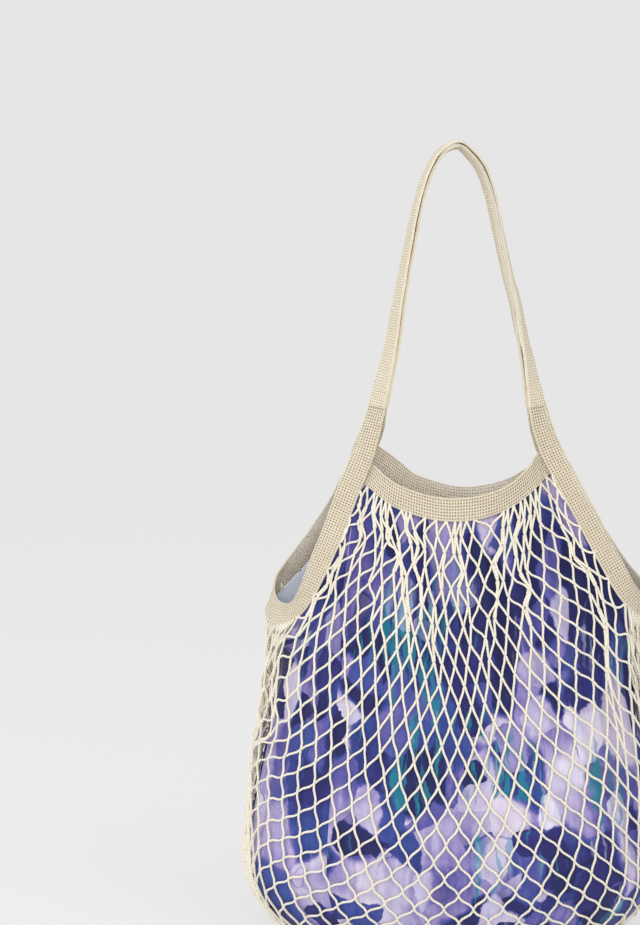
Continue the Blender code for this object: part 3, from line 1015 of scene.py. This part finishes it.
node_id, node_row, node_column = {}, [], []
for row in range(ROWS + 1):
    for c in range(COLUMNS):
        if row >= LIMB_ROWS or (c + 0.5 * (row % 2)) % PANEL <= FRONT_COLUMNS:
            node_id[row, c] = len(node_row)
            node_row.append(row)
            node_column.append(c + 0.5 * (row % 2))
node_row, node_column = np.array(node_row), np.array(node_column)
laid_nodes = np.array([lie_point(column, row) for column, row in zip(node_column, node_row)])
tails = laid_nodes.copy()

# The first row hangs from the mouth bands, the cut sides are held by the side bands, and the last row closes
# the base.
pinned = node_row == 0
for node in np.flatnonzero(pinned):
    tails[node] = mouth_point(tail_lines, node_column[node] % PANEL, node_column[node] < PANEL)
cut_edges = (
    ("left", 0, 0.0, SIDE_SPAN[0]), ("left", COLUMNS - SIDE_COLUMNS, 1.0, SIDE_SPAN[1]),
    ("right", FRONT_COLUMNS, 0.0, SIDE_SPAN[0]), ("right", PANEL, 1.0, SIDE_SPAN[1]))
shares = [(side, column, row, top + (bottom - top) * row / LIMB_ROWS)
          for side, column, top, bottom in cut_edges for row in range(0, LIMB_ROWS + 1, 2)]
for step in range(1, SIDE_COLUMNS):
    share = SIDE_SPAN[0] + (SIDE_SPAN[1] - SIDE_SPAN[0]) * step / SIDE_COLUMNS
    shares.append(("left", COLUMNS - step, LIMB_ROWS, share))
    shares.append(("right", FRONT_COLUMNS + step, LIMB_ROWS, share))
for side, column, row, share in shares:
    node = node_id[row, column]
    laid_nodes[node] = along_line(net_lines[side], [share])[0]
    tails[node] = along_line(tail_lines[side], [share])[0]
    pinned[node] = True
fixed = pinned | (node_row == ROWS)


def half_apart(first, second):
    """Whether two crossings of neighbouring rows are half a column from each other."""
    gap = abs(node_column[first] - node_column[second])
    return min(gap, COLUMNS - gap) < 0.6


links = []
for (row, c), node in node_id.items():
    for column in ((c - 1) % COLUMNS, c) if row % 2 == 0 else (c, (c + 1) % COLUMNS):
        below = node_id.get((row + 1, column))
        if below is not None and half_apart(below, node):
            links.append((node, below))
links = np.array(links)
rest = MESH_SIDE * (1 + net_random.normal(0, MESH_UNEVEN, len(links)))
slack = (node_column % PANEL < 3.2) & (node_row > 10) & (node_row < 18)
# The crossings wander by a millimetre or so, more in the gathers and most where the net is slack.
wander = (np.where(node_row < 8, 1.3, 0.7) + 1.6 * slack)[:, None] * ~fixed[:, None]
laid_nodes = laid_nodes + net_random.normal(0, 1, laid_nodes.shape) * wander
nodes = laid_nodes.copy()
free_nodes = np.flatnonzero(~fixed)
counts = np.maximum(np.bincount(links.ravel(), minlength=len(nodes)), 1)[:, None]
for step in range(SETTLE_STEPS):
    span = nodes[links[:, 1]] - nodes[links[:, 0]]
    length = np.linalg.norm(span, axis=1) + 1e-6
    over = length - rest
    move = span * (np.where(over > 0, over, over * PUSH) * 0.5 / length)[:, None]
    total = np.stack([
        np.bincount(links[:, 0], pull, len(nodes)) - np.bincount(links[:, 1], pull, len(nodes))
        for pull in move.T], axis=1)
    shift = total / counts * OVERSHOOT + (laid_nodes - nodes) * HOLD
    nodes[free_nodes] += shift[free_nodes]
    if step % RESEAT == RESEAT - 1:
        nodes[free_nodes] = on_sack(nodes[free_nodes])[0]
node_out = on_sack(nodes)[1]

# At a crossing the two cords run side by side along the way that the net hangs there, and swap sides.
JOINT_HALF = 1.8
LINK_SHARES = np.array([0.25, 0.5, 0.75])[:, None]
CORD_TURN = 0.36 * CORD
CORD_LIFT = 0.38 * CORD
link_way = unit(nodes[links[:, 1]] - nodes[links[:, 0]])
hang = unit(1e-6 + np.stack([
    np.bincount(links[:, 0], way, len(nodes)) + np.bincount(links[:, 1], way, len(nodes))
    for way in link_way.T], axis=1))
hang = unit(hang - node_out * (hang * node_out).sum(1, keepdims=True))
sideways = np.cross(hang, node_out)
panel = node_column % PANEL
near_side = np.clip((np.abs(panel / FRONT_COLUMNS - 0.5) - 0.46) * 25, 0, 1)
# Where the cords crowd together at the sides, some sink behind the others.
crowding = np.where(panel > FRONT_COLUMNS, 1.0, near_side)
crowding *= np.clip((node_row - LIMB_ROWS) / 2, 0, 1)
sink = crowding * net_random.uniform(0, 1, len(nodes)) * (1 + 0.7 * section_at(nodes[:, 2])[4])


def cord_path(chain, lean, begins):
    """A smooth line through a chain of crossings: its points, and each one's lift and hold on the sack."""
    stations = []
    for place, node in enumerate(chain):
        if pinned[node]:
            edge, tail = nodes[node], tails[node]
            line = [tail, edge] if place == 0 else [edge, tail]
            stations.append((line, unit(line[1] - line[0]), [0, 0], [0, 0]))
        else:
            side = sideways[node] * CORD_TURN * lean
            step = hang[node] * JOINT_HALF
            line = [nodes[node] - step + side, nodes[node], nodes[node] + step - side]
            lift = [CORD_LIFT * lean * 0.5, CORD_LIFT * lean, CORD_LIFT * lean * 0.5]
            skip = 2 if place == 0 and not begins else 0
            stations.append((line[skip:], hang[node], lift[skip:], [1, 1, 1][skip:]))
    points, lifts, holds = [], [], []
    for (line, way, lift, hold), following in zip(stations, stations[1:] + [None]):
        points += line
        lifts += lift
        holds += hold
        if following:
            gap = np.linalg.norm(following[0][0] - line[-1])
            chord = (following[0][0] - line[-1]) / max(gap, 1e-6)
            leave, arrive = [unit(end * 0.7 + chord * 0.5) * gap for end in (way, following[1])]
            t = LINK_SHARES
            points += list((2 * t**3 - 3 * t**2 + 1) * line[-1] + (t**3 - 2 * t**2 + t) * leave
                           + (3 * t**2 - 2 * t**3) * following[0][0] + (t**3 - t**2) * arrive)
            lifts += [0.0] * len(t)
            holds += [float(hold[-1] * (1 - s) + following[3][0] * s) for s in t[:, 0]]
    return np.array(points), np.array(lifts), np.array(holds)


def step_down(row, c, lean, last_row):
    """The next crossing that a cord of one lay reaches."""
    column = (c if row % 2 == 0 else c + 1) if lean > 0 else (c - 1 if row % 2 == 0 else c)
    below = (row + 1, column % COLUMNS)
    if row >= last_row or below not in node_id:
        return None
    return below if half_apart(node_id[below], node_id[row, c]) else None


def chains(first_row, last_row, lean):
    """The chains of crossings that one lay of cords follows between two rows."""
    keys = [key for key in node_id if first_row <= key[0] < last_row]
    reached = {step_down(*key, lean, last_row) for key in keys}
    found = []
    for key in keys:
        chain = [] if key in reached else [key]
        while chain and step_down(*chain[-1], lean, last_row):
            chain.append(step_down(*chain[-1], lean, last_row))
        if len(chain) > 1:
            found.append([node_id[link] for link in chain])
    return found


net_finish = Finish(
    "cotton_cord", Roughness=0.9, Sheen_Weight=0.2, Sheen_Roughness=0.5, Specular_IOR_Level=0.2)
cord_place = net_finish.node("UVMap", {"uv_map": "along_cord"})
cord_along = net_finish.node("SeparateXYZ", {}, {"Vector": cord_place}, 0)
cord_round = net_finish.node("SeparateXYZ", {}, {"Vector": cord_place}, 1)
twist = cord_along * (2 * math.pi / PLY_TWIST) + cord_round * (4 * math.pi)
ply = net_finish.node("Math", {"operation": "SINE"}, {0: twist})
cord_object = net_finish.node("TexCoord", out=3)
fibre = net_finish.noise(net_finish.stretch(cord_place, (1500, 14, 1)), 1.0, 3.0, 0.6)
cord_colour = net_finish.mix(net_finish.noise(cord_object, 30.0, 2.0), *CORD_COLOURS)
# Painted shade: the cord darkens towards the grooves between its plies.
cord_colour = net_finish.mix((ply * -0.5 + 0.5) ** 3 * 0.28, cord_colour, PLY_GROOVE_SHADE)
fuzz = net_finish.bump(fibre, 0.0002, 0.4)
net_finish.drive(Base_Color=cord_colour, Normal=net_finish.bump(ply, 0.0003, 0.8, fuzz))


def net_piece(name, first_row, last_row):
    """The cords between two rows of crossings, both lays of them, as one piece."""
    curve = bpy.data.curves.new(name, "CURVE")
    curve.dimensions = "3D"
    curve.bevel_depth = CORD / 2 * MM
    curve.bevel_resolution = 1
    curve.use_fill_caps = False
    marks = []
    for lean in (1, -1):
        for chain in chains(first_row, last_row, lean):
            begins = node_row[chain[0]] != JOIN_ROW or first_row < JOIN_ROW
            points, lifts, holds = cord_path(chain, lean, begins)
            places, ways = on_sack(points)
            far = travelled(points)
            depth = np.interp(far / far[-1], np.linspace(0, 1, len(chain)), sink[chain])
            settled = places + ways * (lifts - depth)[:, None]
            points = points * (1 - holds[:, None]) + settled * holds[:, None]
            points[:, 2] = np.maximum(points[:, 2], CORD * 0.5)
            spline = curve.splines.new("POLY")
            spline.points.add(len(points) - 1)
            spline.points.foreach_set("co", np.column_stack([points * MM, np.ones(len(points))]).ravel())
            uneven = CORD_UNEVEN * np.sin(np.arange(len(points)) * 0.9 + len(marks))
            spline.points.foreach_set("radius", 1 + uneven)
            marks.append(travelled(points) * MM)
    piece = bpy.data.objects.new(name + "_cords", curve)
    scene.collection.objects.link(piece)
    piece = baked_mesh(piece, name)
    mesh = piece.data
    mesh.materials.append(net_finish.material)
    marks = np.concatenate(marks)
    sides = len(mesh.vertices) // len(marks)
    lay = mesh.uv_layers[0]
    lay.name = "along_cord"
    uv = np.zeros(len(mesh.loops) * 2, np.float32)
    lay.data.foreach_get("uv", uv)
    corner = np.zeros(len(mesh.loops), np.int32)
    mesh.loops.foreach_get("vertex_index", corner)
    uv[::2] = marks[corner // sides]
    lay.data.foreach_set("uv", uv)
    mesh.shade_smooth()
    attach(piece, "root")
    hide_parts("net")


net_piece("net_above", 0, JOIN_ROW)
net_piece("net_below", JOIN_ROW, ROWS)
